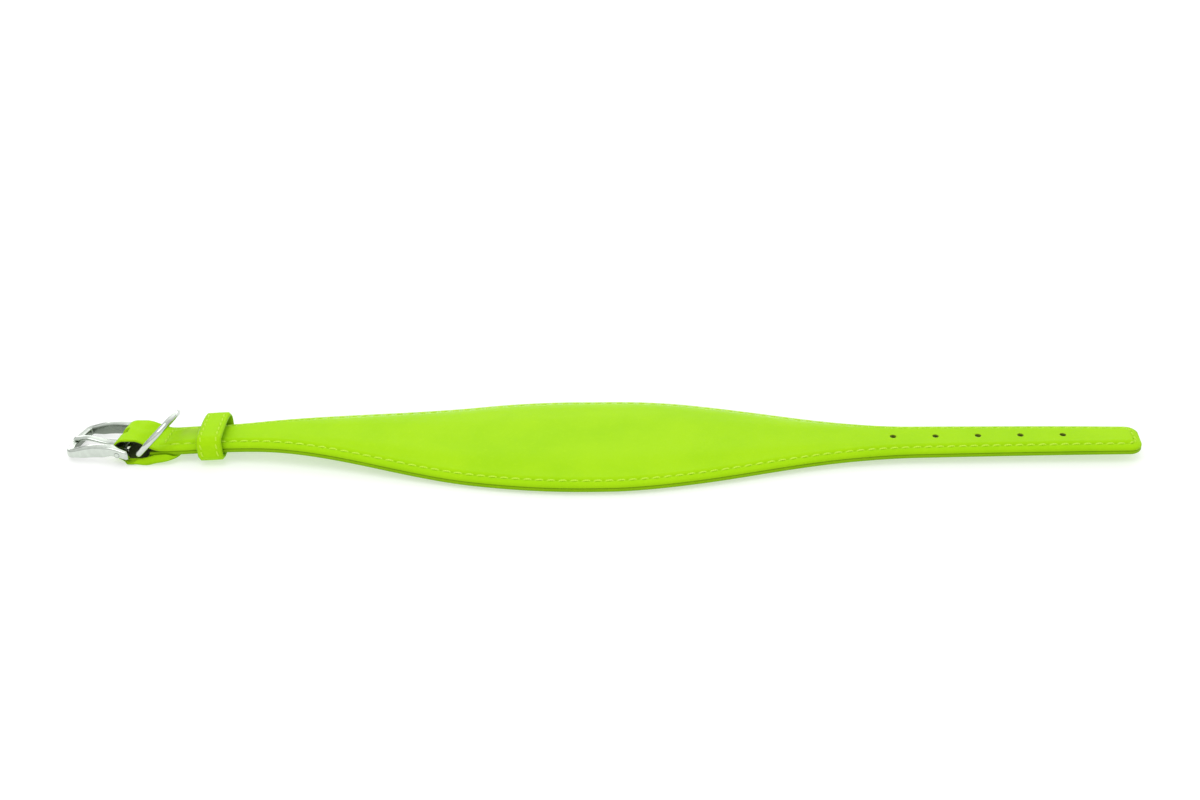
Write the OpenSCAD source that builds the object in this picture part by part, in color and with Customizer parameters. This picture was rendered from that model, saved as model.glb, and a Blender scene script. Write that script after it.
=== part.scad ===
// Wide leather buckle collar for a slim-necked dog, laid out flat.
// The origin is on the underside, at the middle of the wide part. +X runs to the tip of the strap.

/* [Strap outline] */
// Width of the strap at the buckle end
strap_w = 15.5; // [12:0.5:20]
// Width of the strap where the holes begin
root_w = 18.6; // [13:0.2:21]
// Width of the strap at its tip
tip_w = 15.4; // [12:0.2:20]
// Corner radius of the tip
tip_r = 4.5; // [2:0.5:6]
// Width of the wide middle
pad_w = 57.2; // [40:0.2:70]
// Length of the taper from the middle towards the buckle
taper_len = 131; // [118:1:136]
// Length of the taper towards the tip
taper_tip = 110; // [100:1:130]
// Length of the full width beyond the middle, towards the tip
pad_run = 9; // [0:0.5:16]
// Sideways bow of the strap between the middle and the holes
bow_y = 1; // [0:0.1:3]
// Distance from the middle to the tip
tip_x = 198.5; // [190:0.5:215]
// Distance from the middle to the leather fold at the buckle
fold_reach = 158.6; // [156:0.1:170]
// Width cut off the leather where it goes round the bar
fold_trim = 1.5; // [1.5:0.1:2.5]
// Flare of the turned-back flap on each side
flap_flare = 1.8; // [0:0.1:2.4]

/* [Layers] */
// Thickness of the outer leather
outer_t = 1.1; // [0.9:0.1:1.4]
// Thickness of the lining leather
lining_t = 1.55; // [1:0.05:2]
// Thickness of the stay tape between the leathers
tape_t = 0.9; // [0.3:0.05:1.2]
// Height of the foam pad in the wide middle
pad_rise = 0.9; // [0.4:0.1:1.5]
// Half of the foam pad's length
pad_half_len = 92; // [70:1:110]

/* [How it lies] */
// Height of the strap's underside where it humps up behind the keeper
hump_lift = 3.6; // [3.2:0.1:5]
// Rise of the strap for each millimetre of length through the keeper
keeper_slope = 0.06; // [0.02:0.01:0.08]
// Height of the strap's underside at the tip
tip_lift = 2.1; // [0:0.1:5]
// Depth of the buckle end below the underside of the wide middle
end_drop = 1; // [0:0.1:1.2]
// Turn of the buckle, ring and fold, seen from above, in degrees
askew = 8; // [0:1:10]

/* [Holes] */
// Number of punched holes
hole_count = 5; // [3:1:6]
// Distance between holes
hole_pitch = 15; // [10:0.5:18]
// Diameter of a punched hole
hole_d = 2.2; // [1.8:0.1:3]
// Distance from the last hole to the tip
hole_end = 27.5; // [20:0.5:40]

/* [Seams] */
// Distance of the seam from the edge
seam_inset = 2.6; // [2.2:0.1:3.4]
// Distance from one stitch to the next
stitch_pitch = 4; // [3:0.25:6]
// Length of one stitch
stitch_len = 3.1; // [2:0.1:3.6]
// Diameter of the thread
thread_d = 0.6; // [0.4:0.05:0.8]

/* [Buckle] */
// Diameter of the heel bar
bar_d = 2.6; // [2:0.1:3.2]
// Free width between the rails beyond the strap
rail_play = 0.3; // [0.3:0.1:2]
// Width of a rail seen from above
rail_w = 2.2; // [1.8:0.1:4]
// Thickness of the frame
frame_t = 2.9; // [2.2:0.1:3.2]
// Distance from the heel bar to the outside of the front bar
frame_reach = 20.6; // [17:0.2:26]
// Width of the front bar
front_w = 2.5; // [2:0.1:4]
// Outward bow of the front bar
front_bow = 2; // [0.8:0.1:2.5]
// Rise of the frame's arch, seen from the side
frame_arch = 1.25; // [0.8:0.05:1.8]
// Drop of the front bar below the heel bar
frame_drop = 2.1; // [0.4:0.1:2.4]
// Length of the rails behind the heel bar
ear_len = 3.8; // [2.4:0.1:4]
// Width of the tongue
tongue_w = 2.8; // [2:0.1:3.6]
// Thickness of the tongue
tongue_t = 1.4; // [1.1:0.05:1.7]

/* [D-ring] */
// Diameter of the ring's wire
wire_d = 2.3; // [1.8:0.1:2.6]
// Free width inside the ring beyond the strap
ring_play = 1.6; // [1.2:0.1:3]
// Height of the ring, between wire centres
ring_h = 15.1; // [12:0.1:15.5]
// Lean of the ring above the strap, in degrees
ring_lean = 48; // [46:1:60]
// Turn of the ring beyond the turn of the fold, in degrees
ring_turn = 6; // [0:0.5:6.5]

/* [Keeper] */
// Distance from the leather fold to the keeper
keeper_reach = 29.8; // [27:0.2:36]
// Length of the keeper along the strap
keeper_len = 8.9; // [6:0.1:10]
// Thickness of the keeper's leather
keeper_t = 1.5; // [1:0.1:1.7]
// Free width inside the keeper beyond the strap
keeper_play = 2.4; // [2:0.1:3]
// Free height above the strap inside the keeper
keeper_room = 1.95; // [1.7:0.05:3]
// Free height below the strap inside the keeper
keeper_sag = 0.8; // [0.4:0.1:0.9]
// Distance of a stitch row from the keeper's edge
keeper_inset = 1.7; // [1.2:0.1:2]

/* [Hidden] */
$fn = 64;

lime = [0.66, 0.89, 0.13];
lime_dark = [0.55, 0.78, 0.1];
thread_lime = [0.8, 0.93, 0.42];
chrome = [0.82, 0.83, 0.84];
foam = [0.93, 0.93, 0.88];

// Gap between layers that lie on each other
skin = 0.04;
// Gap between the turned-back flap and the lining above it
flap_gap = 0.1;
// Gap between pieces that only rest against each other
rest_gap = 0.3;
// Gap between a piece and the pin it turns on
run_gap = 0.08;
// Length past a surface for a clean cut
over = 1;

// Total thickness of the flat strap
strap_t = lining_t + tape_t + outer_t;

// The fold: a half round of leather with room for the bar and the tongue's eye
fold_room = 1.9;
fold_in = bar_d / 2 + fold_room;
fold_out = fold_in + outer_t;
fold_x = -fold_reach;
fold_z = fold_out - end_drop;
bar_x = fold_x - 0.8 * fold_room;
bar_z = fold_z;
// Stations along the fold, measured to the right of its centre
flare_back = 2.9;
fold_top_back = 3.4;
dip_back = 5.6;
ring_back = 6.4;
lining_back = 9;
join_back = 12.4;
seam_back = 13.4;
flap_back = 17;
flare_x = fold_x + flare_back;
fold_top_x = fold_x + fold_top_back;
dip_x = fold_x + dip_back;
ring_x = fold_x + ring_back;
lining_x = fold_x + lining_back;
join_x = fold_x + join_back;
seam_x = fold_x + seam_back;
flap_x = fold_x + flap_back;

// The lie of the strap: through the keeper, over the hump behind it, down to the flat middle
keeper_x = fold_x + keeper_reach;
keeper_tilt = atan(keeper_slope);
hump_back = 15.8;
hump_x = keeper_x + hump_back;
flat_left = -36;
flat_right = 8;
root_x = 100;
// Where the sideways bow is full, where it starts to go back, and where it ends
bow_full = 40;
bow_back = 60;
bow_end = 120;

// Section sizes
edge_roll = 0.9;
edge_low = 0.45;
edge_share = 0.55;
seam_sink = 0.12;
seam_rise = 0.55;
seam_step = 0.8;
crown_share = 0.45;
groove_w = 1.4;
groove_h = 0.6;

// Steps of the sweeps
strap_steps = 44;
tip_steps = 4;
bend_steps = 5;
round_steps = 8;

function clamp(t) = min(max(t, 0), 1);
function smooth(t) = let (c = clamp(t)) c * c * (3 - 2 * c);
function ease(x, a, b) = smooth((x - a) / (b - a));
function mix(a, b, t) = a + (b - a) * t;

// Curve from height p with slope m down to zero with no slope
function settle(t, p, m) = (2 * t ^ 3 - 3 * t ^ 2 + 1) * p + (t ^ 3 - 2 * t ^ 2 + t) * m;

// Height of the lining's underside at x
function lift(x) =
    x < hump_x ? hump_lift + keeper_slope * (x - hump_x)
    : x < flat_left ? settle((x - hump_x) / (flat_left - hump_x), hump_lift,
        keeper_slope * (flat_left - hump_x))
    : x < flat_right ? 0
    : tip_lift * ease(x, flat_right, tip_x);

// Half of the strap's width at x
function narrow_w(x) = x < 0 ? strap_w : mix(root_w, tip_w, clamp((x - root_x) / (tip_x - root_x)));
function taper(x) = x < 0 ? -x / taper_len : max(x - pad_run, 0) / taper_tip;
function swell(x) = taper(x) < 1 ? 0.5 + 0.5 * cos(180 * taper(x)) : 0;
function full_half(x) = mix(narrow_w(x), pad_w, swell(x)) / 2;
function half_w(x) =
    let (d = max(x - tip_x + tip_r, 0))
    full_half(x) - tip_r + sqrt(max(tip_r ^ 2 - d ^ 2, 0));

// Places across the section, out from the middle line
function seam_y(h) = h - min(seam_inset, h / 2);
function tape_y(h) = seam_y(h) - min(seam_step, seam_y(h) / 2);
function crown_y(h) = tape_y(h) * crown_share;

// Height of the foam at x, and share of the tape at x
foam_fade = 24;
tape_fade = 3;
function foam_h(x) = pad_rise * ease(abs(x), pad_half_len + foam_fade, pad_half_len / 2);
function tape_share(x) = ease(x, join_x - tape_fade, join_x + tape_fade);

// Sideways bow of the strap at x
function bow(x) = bow_y * ease(x, 0, bow_full) * (1 - ease(x, bow_back, bow_end));

// Sideways shear of the leather near the buckle
function shear(x) = tan(askew) * (1 - ease(x, join_x, keeper_x - keeper_len));

// Height of the outer leather's top above its seat, along the seam of the sewn strap
seam_top = outer_t + seam_rise;

// Closed skin over rings of points that all have the same count. The end caps are split into convex faces
module sweep(rings, cap_faces) {
    n = len(rings[0]);
    last = len(rings) - 1;
    sides = [for (i = [0:last - 1], j = [0:n - 1])
        let (a = i * n + j, b = i * n + (j + 1) % n)
        each [[a, b, b + n], [a, b + n, a + n]]];
    first_cap = [for (f = cap_faces) [for (j = [len(f) - 1:-1:0]) f[j]]];
    last_cap = [for (f = cap_faces) [for (j = f) last * n + j]];
    polyhedron(points = [for (r = rings) each r], faces = concat(sides, first_cap, last_cap), convexity = 6);
}

// Points of one ring: pairs of y and height above the seat, from a seat point and a normal
function place(pairs, x, z, normal) =
    [for (p = pairs) [x + p[1] * normal[0] + p[0] * shear(x), p[0] + bow(x), z + p[1] * normal[1]]];
function mirror_y(pairs) = [for (i = [len(pairs) - 1:-1:0]) [-pairs[i][0], pairs[i][1]]];

// Section of the outer leather: its grain side, then its flesh side. Where it is sewn to the lining its
// margin is turned in, and slopes down from the seam to the edge
function outer_section(h, sewn, tape, rise) =
    let (
        seam = mix(outer_t - seam_sink, seam_top, sewn),
        roll = mix(seam, mix(edge_low, seam, edge_share), sewn),
        grain = [[crown_y(h), tape + rise + outer_t], [tape_y(h), tape + outer_t],
            [seam_y(h), seam], [h - edge_roll, roll], [h, edge_low]],
        flesh = [[h - edge_low / 2, 0], [seam_y(h), 0], [tape_y(h), tape], [crown_y(h), tape + rise]]
    )
    concat(grain, flesh, mirror_y(flesh), mirror_y(grain));
outer_cap = [[0, 1, 7, 8], [1, 2, 6, 7], [2, 3, 5, 6], [3, 4, 5], [0, 8, 9, 17],
    [9, 10, 16, 17], [10, 11, 15, 16], [11, 12, 14, 15], [12, 13, 14]];

// Seat of the outer leather over the fold: the flap below, the bend, then the run down to the strap
function flap_z(x) = mix(outer_t - end_drop, lift(x) - flap_gap, ease(x, dip_x, join_x));
function top_z(x) = mix(fold_z + fold_in, lift(x) + lining_t + skin, ease(x, fold_top_x, join_x));
function bend(a) = [fold_x + fold_in * cos(a), fold_z + fold_in * sin(a)];

strap_xs = concat(
    [for (i = [0:strap_steps]) mix(join_x, tip_x - tip_r, i / strap_steps)],
    [for (i = [1:tip_steps]) tip_x - tip_r + tip_r * sin(90 * i / tip_steps)]);

// The leather is a little narrower in the fold, to turn freely between the rails
fold_half = (strap_w - fold_trim) / 2;
fold_leather = outer_section(fold_half, 0, 0, 0);
function run_leather(x) =
    outer_section((strap_w - fold_trim * (1 - ease(x, fold_top_x, join_x))) / 2, tape_share(x),
        tape_t * tape_share(x), 0);
function flap_half(x) =
    let (d = max(x - flap_x + flap_r, 0))
    mix(fold_half, strap_w / 2 + flap_flare, ease(x, flare_x, flare_x + flare_len)) - flap_r
        + sqrt(max(flap_r ^ 2 - d ^ 2, 0));
flap_r = 6;
flare_len = 1.5;
flap_xs = concat(
    [for (i = [0:4]) flap_x - flap_r + flap_r * cos(90 * i / 4)],
    [for (i = [1:bend_steps]) mix(flap_x - flap_r, dip_x, i / bend_steps)],
    [for (i = [0:3]) flare_x + flare_len * (1 - i / 3)]);
flap_rings = [for (x = flap_xs)
    place(outer_section(flap_half(x), 0, 0, 0), x, flap_z(x), [0, -1])];
bend_rings = [for (i = [0:round_steps])
    let (a = 270 - 180 * i / round_steps, p = bend(a))
    place(fold_leather, p[0], p[1], [cos(a), sin(a)])];
top_rings = [for (i = [0:bend_steps - 1])
    let (x = mix(fold_top_x, join_x, i / bend_steps))
    place(run_leather(x), x, top_z(x), [0, 1])];
strap_rings = [for (x = strap_xs)
    let (sewn = tape_share(x))
    place(outer_section(half_w(x), sewn, tape_t * sewn + skin, foam_h(x)), x, lift(x) + lining_t + skin, [0, 1])];

module punched_holes() {
    for (i = [0:hole_count - 1])
        let (x = tip_x - hole_end - i * hole_pitch)
        translate([x, bow(x), -over])
            cylinder(d = hole_d, h = tip_lift + strap_t + 3 * over);
}

// Opening in the fold that the tongue swings through
slot_w = tongue_w + 1;
slot_top = 100;
slot_low = 310;

module tongue_slot() {
    reach = 2 * fold_out;
    rim = [for (i = [0:6]) let (a = mix(slot_top, slot_low, i / 6)) reach * [cos(a), sin(a)]];
    translate([fold_x, 0, fold_z])
        rotate([0, 0, -askew])
            rotate([90, 0, 0])
                linear_extrude(slot_w, center = true)
                    polygon(concat([[0, 0]], rim));
}

module outer_leather() {
    color(lime)
        difference() {
            sweep(concat(flap_rings, bend_rings, top_rings, strap_rings), outer_cap);
            punched_holes();
            tongue_slot();
        }
}

function lining_section(h) =
    let (
        s = seam_y(h),
        g = min(groove_w, s) / 2,
        half = [[h - edge_low / 3, lining_t], [h, lining_t - edge_low], [h, edge_low], [h - edge_low, 0],
            [s + g, 0], [s, groove_h], [s - g, 0]]
    )
    concat(half, mirror_y(half));
lining_cap = [[0, 1, 2, 3, 4, 5], [0, 5, 8, 13], [5, 6, 7, 8], [8, 9, 10, 11, 12, 13]];

module lining_leather() {
    color(lime_dark)
        difference() {
            sweep([for (x = concat([lining_x], strap_xs))
                place(lining_section(half_w(x)), x, lift(x), [0, 1])], lining_cap);
            punched_holes();
        }
}

// Stay tape, from behind the fold's seam to just short of the tip's seam
tape_end = 2;
tape_xs = [for (x = strap_xs) if (x > join_x + tape_fade && x < tip_x - seam_inset - tape_end) x];

module stay_tape() {
    color(foam)
        difference() {
            sweep([for (x = tape_xs)
                let (y = tape_y(half_w(x)))
                place([[y, tape_t - skin], [y, 0], [-y, 0], [-y, tape_t - skin]],
                    x, lift(x) + lining_t + skin, [0, 1])], [[0, 1, 2, 3]]);
            punched_holes();
        }
}

// Foam pad under the wide middle, a little thinner than the space above the tape
pad_gap = 0.1;
foam_xs = [for (x = strap_xs) if (abs(x) < pad_half_len) x];

module center_pad() {
    edge = 0.6;
    color(foam)
        sweep([for (x = foam_xs)
            let (
                h = half_w(x),
                y = mix(crown_y(h), tape_y(h), edge),
                rise = foam_h(x) - pad_gap,
                low = max(foam_h(x) * (1 - edge) - pad_gap, 2 * skin)
            )
            place([[crown_y(h), rise], [y, low], [y, skin], [-y, skin], [-y, low], [-crown_y(h), rise]],
                x, lift(x) + lining_t + tape_t + skin, [0, 1])], [[0, 1, 2, 3, 4, 5]]);
}

// One stitch: a straight round thread from p to q
module stitch(p, q, d = thread_d) {
    v = q - p;
    translate(p)
        rotate([0, acos(v[2] / norm(v)), atan2(v[1], v[0])])
            cylinder(d = d, h = norm(v), $fn = 16);
}

// Seam line on one side, at a height above the lining's underside
function seam_point(x, side, up) =
    let (y = side * seam_y(half_w(x)))
    [x + y * shear(x), y + bow(x), lift(x) + up];

// Stitches along both edges and across the tip
stitch_gap = 0.4;

module edge_seam(up) {
    first = seam_x + stitch_pitch / 2;
    last = tip_x - tip_r - stitch_pitch / 2;
    count = floor((last - first) / stitch_pitch);
    for (i = [0:count - 1], side = [-1, 1]) {
        x = first + i * stitch_pitch;
        stitch(seam_point(x, side, up), seam_point(x + stitch_len, side, up));
    }
    across = seam_y(half_w(last));
    end_x = tip_x - seam_inset;
    turn_x = end_x - min(tip_r, across) / 2;
    for (side = [-1, 1]) {
        stitch([turn_x, side * (across - stitch_gap), lift(end_x) + up],
            [end_x, side * (across / 2 + thread_d), lift(end_x) + up]);
        stitch([end_x, side * across / 2, lift(end_x) + up], [end_x, side * stitch_gap, lift(end_x) + up]);
    }
}

module edge_thread_top() {
    color(thread_lime) edge_seam(lining_t + skin + seam_top + thread_d / 4);
}

module edge_thread_bottom() {
    color(thread_lime) edge_seam(thread_d / 2 + skin);
}

// A row of stitches behind the ring, on the strap and under the flap
module fold_thread() {
    count = 4;
    pitch = 2 * tape_y(strap_w / 2) / count;
    long = 0.76 * pitch;
    x = seam_x;
    top = lining_t + 2 * skin + tape_t * tape_share(x) + outer_t + thread_d / 6;
    low = -outer_t - flap_gap - thread_d / 6;
    for (i = [0:count - 1], up = [top, low]) {
        y = (i - count / 2) * pitch + (pitch - long) / 2;
        color(thread_lime)
            stitch([x + y * shear(x), y, lift(x) + up], [x + (y + long) * shear(x), y + long, lift(x) + up]);
    }
}

// Buckle sizes in its own frame, with the heel bar along Y at the origin
rail_in = strap_w / 2 + rail_play / 2;
rail_out = rail_in + rail_w;
front_mid = frame_reach - frame_t / 2;
chord = norm([front_mid, frame_drop]);
arch_r = (chord ^ 2 / 4 + frame_arch ^ 2) / (2 * frame_arch);
arch_at = [-front_mid, -frame_drop] / 2 - (arch_r - frame_arch) * [-frame_drop, front_mid] / chord;
function arch_z(x, r) = arch_at[1] + sqrt(r ^ 2 - (x - arch_at[0]) ^ 2);
function bow_r(half, bow) = (half ^ 2 + bow ^ 2) / (2 * bow);

// The tongue lies in a shallow rest in the front bar
rest_z = arch_z(-frame_reach, arch_r + frame_t / 2);

// Moves a metal piece from its own frame to its place in the leather
module seat(x, z) {
    translate([x, 0, z])
        rotate([0, 0, -askew])
            children();
}

// Round bar along Y
module bar_y(d, length) {
    rotate([90, 0, 0])
        cylinder(d = d, h = length, center = true, $fn = 96);
}

// Upright block with one bowed end, from the bow to the given x
module bowed_block(reach, half, bow, back) {
    r = bow_r(half, bow);
    tall = 12 * frame_t;
    intersection() {
        translate([r - reach, 0, 0])
            cylinder(r = r, h = tall, center = true, $fn = 180);
        translate([(back - reach) / 2, 0, 0])
            cube([back + reach, 2 * half, tall], center = true);
    }
}

module buckle_frame() {
    color(chrome)
        seat(bar_x, bar_z)
            difference() {
                intersection() {
                    bowed_block(frame_reach, rail_out, front_bow, ear_len);
                    translate([arch_at[0], 0, arch_at[1]])
                        difference() {
                            bar_y(2 * arch_r + frame_t, 3 * rail_out);
                            bar_y(2 * arch_r - frame_t, 4 * rail_out);
                        }
                    translate([0, 0, arch_r / 2])
                        cube([4 * frame_reach, 4 * rail_out, arch_r + 4 * frame_t], center = true);
                }
                bowed_block(frame_reach - front_w, rail_in, front_bow * 1.4, ear_len + over);
                bar_y(bar_d + 2 * skin, 3 * rail_out);
                translate([-frame_reach, 0, rest_z + frame_t])
                    cube([2 * front_w + 2 * front_bow, tongue_w + 2 * rest_gap, 2 * frame_t], center = true);
            }
}

module heel_bar() {
    color(chrome)
        seat(bar_x, bar_z)
            bar_y(bar_d, 2 * rail_out);
}

// Tongue: an eye round the heel bar, a rising shank and a tip that lies on the front bar
eye_d = bar_d + 2 * run_gap;
eye_wall = 0.65;
eye_out = eye_d + 2 * eye_wall;

module buckle_tongue() {
    low = rest_z + rest_gap / 2;
    crest_x = frame_reach - front_w - front_bow - tongue_t;
    tip = frame_reach - rest_gap;
    shank = [
        [0, -eye_out / 2],
        [-crest_x, low - rest_gap],
        [-crest_x - tongue_t, low],
        [-tip, low],
        [-tip, low + tongue_t / 3],
        [-tip + tongue_t / 2, low + 0.75 * tongue_t],
        [-crest_x - 2 * tongue_t, low + tongue_t],
        [-crest_x, low + tongue_t],
        [0, -eye_out / 2 + 1.2 * tongue_t]
    ];
    color(chrome)
        seat(bar_x, bar_z)
            difference() {
                union() {
                    bar_y(eye_out, tongue_w);
                    rotate([90, 0, 0])
                        linear_extrude(tongue_w, center = true)
                            polygon(shank);
                }
                bar_y(eye_d, 2 * tongue_w);
            }
}

// D-ring: a straight side in the fold, two legs and a round bow
ring_r = strap_w / 2 + ring_play / 2 + wire_d / 2;
ring_z = (flap_z(ring_x) + top_z(ring_x)) / 2;

module d_ring() {
    leg = ring_h - ring_r;
    color(chrome)
        seat(ring_x, ring_z)
            rotate([0, -ring_lean, -ring_turn]) {
                bar_y(wire_d, 2 * ring_r);
                for (side = [-1, 1])
                    translate([0, side * ring_r, 0]) {
                        sphere(d = wire_d);
                        rotate([0, 90, 0])
                            cylinder(d = wire_d, h = leg);
                    }
                translate([leg, 0, 0])
                    rotate([0, 0, -90])
                        rotate_extrude(angle = 180, $fn = 128)
                            translate([ring_r, 0])
                                circle(d = wire_d);
            }
}

// Keeper sizes: its inside from the strap, its outside from its leather
keeper_in_w = strap_w + keeper_play;
keeper_in_h = keeper_sag + strap_t + keeper_room;
keeper_w = keeper_in_w + 2 * keeper_t;
keeper_h = keeper_in_h + 2 * keeper_t;
keeper_mid = keeper_in_h / 2 - keeper_sag;
keeper_r_in = 1.4;
keeper_r = keeper_r_in + keeper_t;

module rounded_rect(w, h, r) {
    square([w - 2 * r, h], center = true);
    square([w, h - 2 * r], center = true);
    for (sx = [-1, 1], sy = [-1, 1])
        translate([sx * (w / 2 - r), sy * (h / 2 - r)])
            circle(r);
}

module seat_keeper() {
    translate([keeper_x, 0, lift(keeper_x)])
        rotate([0, -keeper_tilt, 0])
            children();
}

module keeper_loop() {
    color(lime)
        seat_keeper()
            translate([0, 0, keeper_mid])
                rotate([90, 0, 90])
                    linear_extrude(keeper_len, center = true)
                        difference() {
                            rounded_rect(keeper_w, keeper_h, keeper_r);
                            rounded_rect(keeper_in_w, keeper_in_h, keeper_r_in);
                        }
}

// Point on the keeper's outside, d along it from the top's middle, positive to the far side
keeper_top = keeper_w / 2 - keeper_r;
keeper_bend = keeper_r * PI / 2;
function keeper_half(d) =
    d < keeper_top ? [d, keeper_h / 2]
    : d < keeper_top + keeper_bend ? let (a = 90 - (d - keeper_top) / keeper_r * 180 / PI)
        [keeper_top + keeper_r * cos(a), keeper_h / 2 - keeper_r + keeper_r * sin(a)]
    : [keeper_w / 2, keeper_h / 2 - keeper_r - (d - keeper_top - keeper_bend)];
function keeper_point(d, x) =
    let (p = keeper_half(abs(d)))
    [x, sign(d) * p[0], p[1] + keeper_mid];

module keeper_thread() {
    pitch = 0.75 * stitch_pitch;
    run = keeper_top + keeper_bend + keeper_h / 2 - keeper_r;
    count = floor(run / pitch);
    row_x = keeper_len / 2 - keeper_inset;
    color(thread_lime)
        seat_keeper()
            for (x = [-row_x, row_x], i = [-count:count - 1])
                stitch(keeper_point((i + 0.12) * pitch, x), keeper_point((i + 0.88) * pitch, x));
}

outer_leather();
lining_leather();
stay_tape();
center_pad();
edge_thread_top();
edge_thread_bottom();
fold_thread();
buckle_frame();
heel_bar();
buckle_tongue();
d_ring();
keeper_loop();
keeper_thread();
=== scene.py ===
import math

import bmesh
import bpy
from mathutils import Matrix, Vector, noise


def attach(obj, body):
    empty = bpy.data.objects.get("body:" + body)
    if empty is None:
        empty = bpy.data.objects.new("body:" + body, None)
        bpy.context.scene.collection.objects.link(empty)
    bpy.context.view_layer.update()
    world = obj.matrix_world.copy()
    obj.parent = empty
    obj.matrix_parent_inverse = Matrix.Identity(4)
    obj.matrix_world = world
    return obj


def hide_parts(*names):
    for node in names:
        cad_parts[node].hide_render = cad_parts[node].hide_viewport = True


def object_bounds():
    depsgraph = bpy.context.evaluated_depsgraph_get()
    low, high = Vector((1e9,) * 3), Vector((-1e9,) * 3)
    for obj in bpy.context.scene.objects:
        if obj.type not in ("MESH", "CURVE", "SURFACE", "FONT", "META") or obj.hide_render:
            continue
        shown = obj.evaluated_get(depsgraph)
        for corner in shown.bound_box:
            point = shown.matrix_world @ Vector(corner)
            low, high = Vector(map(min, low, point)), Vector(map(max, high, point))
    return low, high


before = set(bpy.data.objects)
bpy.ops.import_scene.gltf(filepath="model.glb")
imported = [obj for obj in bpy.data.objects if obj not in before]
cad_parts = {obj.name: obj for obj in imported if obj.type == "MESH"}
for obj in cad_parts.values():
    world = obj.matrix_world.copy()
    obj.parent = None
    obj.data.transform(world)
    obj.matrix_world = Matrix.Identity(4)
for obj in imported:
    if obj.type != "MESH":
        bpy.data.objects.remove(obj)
cadLow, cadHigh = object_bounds()
mm = 0.001

# the photograph's camera, fitted to the hole pitch and the outline
photoCamera = {"lens": 47.208, "place": (7.2, -474.9, 296.75), "pitchDown": 30.25}

cameraData = bpy.data.cameras.new("photo_camera")
cameraData.sensor_fit = "HORIZONTAL"
cameraData.sensor_width = 36
cameraData.lens = photoCamera["lens"]
cameraData.clip_start, cameraData.clip_end = 0.01, 20
camera = bpy.data.objects.new("photo_camera", cameraData)
camera.location = Vector(photoCamera["place"]) * mm
camera.rotation_euler = (math.radians(90 - photoCamera["pitchDown"]), 0, 0)
bpy.context.scene.collection.objects.link(camera)
bpy.context.scene.camera = camera
print("camera set")


# small maths shared by all the pieces, in millimetres
def clamp(t):
    return min(max(t, 0.0), 1.0)


def smooth(t):
    t = clamp(t)
    return t * t * (3 - 2 * t)


def ease(x, a, b):
    return smooth((x - a) / (b - a))


def mix(a, b, t):
    return a + (b - a) * t


def span(a, b, count):
    return [mix(a, b, i / count) for i in range(count + 1)]


def jitter(seed):
    return noise.noise(Vector((seed * 1.37, seed * 0.71, 4.2)))


# one socket with operators, so that shader maths reads as an expression
class Sock:
    def __init__(self, tree, out=None):
        self.tree = tree
        self.out = out

    def make(self, kind, settings=None, inputs=None, out=0):
        node = self.tree.nodes.new(kind)
        for key, value in (settings or {}).items():
            if key == "stops":
                ramp = node.color_ramp
                while len(ramp.elements) < len(value):
                    ramp.elements.new(0.5)
                for stop, (at, colour) in zip(ramp.elements, value):
                    stop.position = at
                    stop.color = colour
            else:
                setattr(node, key, value)
        for key, value in (inputs or {}).items():
            if isinstance(value, Sock):
                self.tree.links.new(value.out, node.inputs[key])
            else:
                node.inputs[key].default_value = value
        return Sock(self.tree, node.outputs[out])

    def maths(self, operation, a, b):
        return self.make("ShaderNodeMath", {"operation": operation}, {0: a, 1: b})

    def __add__(self, other):
        return self.maths("ADD", self, other)

    def __radd__(self, other):
        return self.maths("ADD", other, self)

    def __sub__(self, other):
        return self.maths("SUBTRACT", self, other)

    def __rsub__(self, other):
        return self.maths("SUBTRACT", other, self)

    def __mul__(self, other):
        return self.maths("MULTIPLY", self, other)

    def blend(self, factor, a, b):
        return self.make("ShaderNodeMix", {"data_type": "RGBA"}, {0: factor, 6: a, 7: b}, 2)

    def ramp(self, low, high):
        return self.make("ShaderNodeMapRange", {"interpolation_type": "SMOOTHSTEP"},
                         {0: self, 1: low, 2: high, 3: 0.0, 4: 1.0})


def newMaterial(name):
    material = bpy.data.materials.new(name)
    material.use_nodes = True
    tree = material.node_tree
    tree.nodes.clear()
    start = Sock(tree)
    shader = tree.nodes.new("ShaderNodeBsdfPrincipled")
    output = tree.nodes.new("ShaderNodeOutputMaterial")
    tree.links.new(shader.outputs[0], output.inputs[0])
    return material, start, shader


def feed(start, shader, **sockets):
    for name, value in sockets.items():
        socket = shader.inputs[name.replace("_", " ")]
        if isinstance(value, Sock):
            start.tree.links.new(value.out, socket)
        else:
            socket.default_value = value


# object coordinates in millimetres
def place(start):
    at = start.make("ShaderNodeTexCoord", out=3)
    return start.make("ShaderNodeVectorMath", {"operation": "SCALE"}, {0: at, 3: 1 / mm})


def cloud(start, at, scale, detail=3.0, rough=0.55):
    return start.make("ShaderNodeTexNoise", None,
                      {"Vector": at, "Scale": scale, "Detail": detail, "Roughness": rough})


def mark(start, name):
    return start.make("ShaderNodeAttribute", {"attribute_name": name}, None, 2)


def bumpy(start, strength, distance, height):
    return start.make("ShaderNodeBump", None, {"Strength": strength, "Distance": distance, "Height": height})


leatherLook = {
    "lime": (0.375, 0.7, 0.004, 1), "deep": (0.315, 0.64, 0.002, 1), "pale": (0.44, 0.75, 0.014, 1),
    "shade": (0.1, 0.2, 0.002, 1), "pit": (0.15, 0.29, 0.003, 1), "rubbed": (0.33, 0.5, 0.07, 1),
    "rough": 0.5, "grain": 0.28, "gloss": 0.05, "sheen": 0.07,
}


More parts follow.
